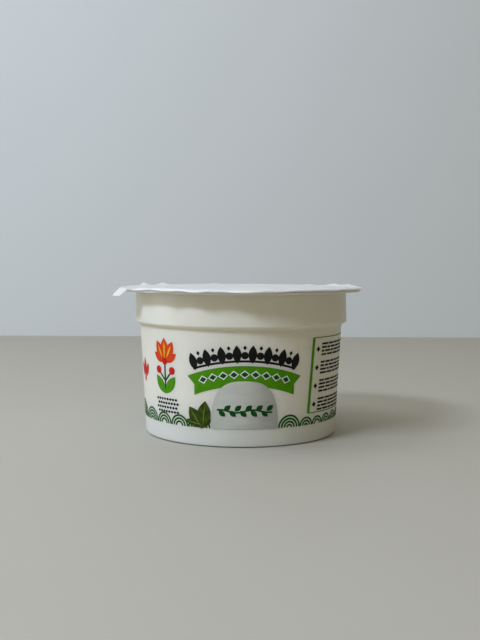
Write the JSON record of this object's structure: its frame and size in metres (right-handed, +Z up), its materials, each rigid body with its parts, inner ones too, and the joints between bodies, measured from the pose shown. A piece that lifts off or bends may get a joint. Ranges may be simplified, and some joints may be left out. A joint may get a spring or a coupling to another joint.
{
  "type": "sealed mozzarella tub",
  "caption": "Shut round tub that holds a fresh cheese ball in brine, with a tapered printed wall, a collar and a peel-off film lid over its sealing flange.",
  "frame": {"origin": "centre of the foot, on the surface that the tub stands on", "axes": "+Z up along the tub's axis, -Y to the printed front, +X to the right of it; the pull tab is on the left"},
  "size_m": [0.1006, 0.0972, 0.0588],
  "materials": {
    "tub_plastic": "satin injection-moulded polypropylene with an in-mould print",
    "lid_film": "glossy white heat-sealed film"
  },
  "bodies": {
    "root": {"tub": "tub_plastic", "lid": "lid_film"}
  },
  "joints": []
}
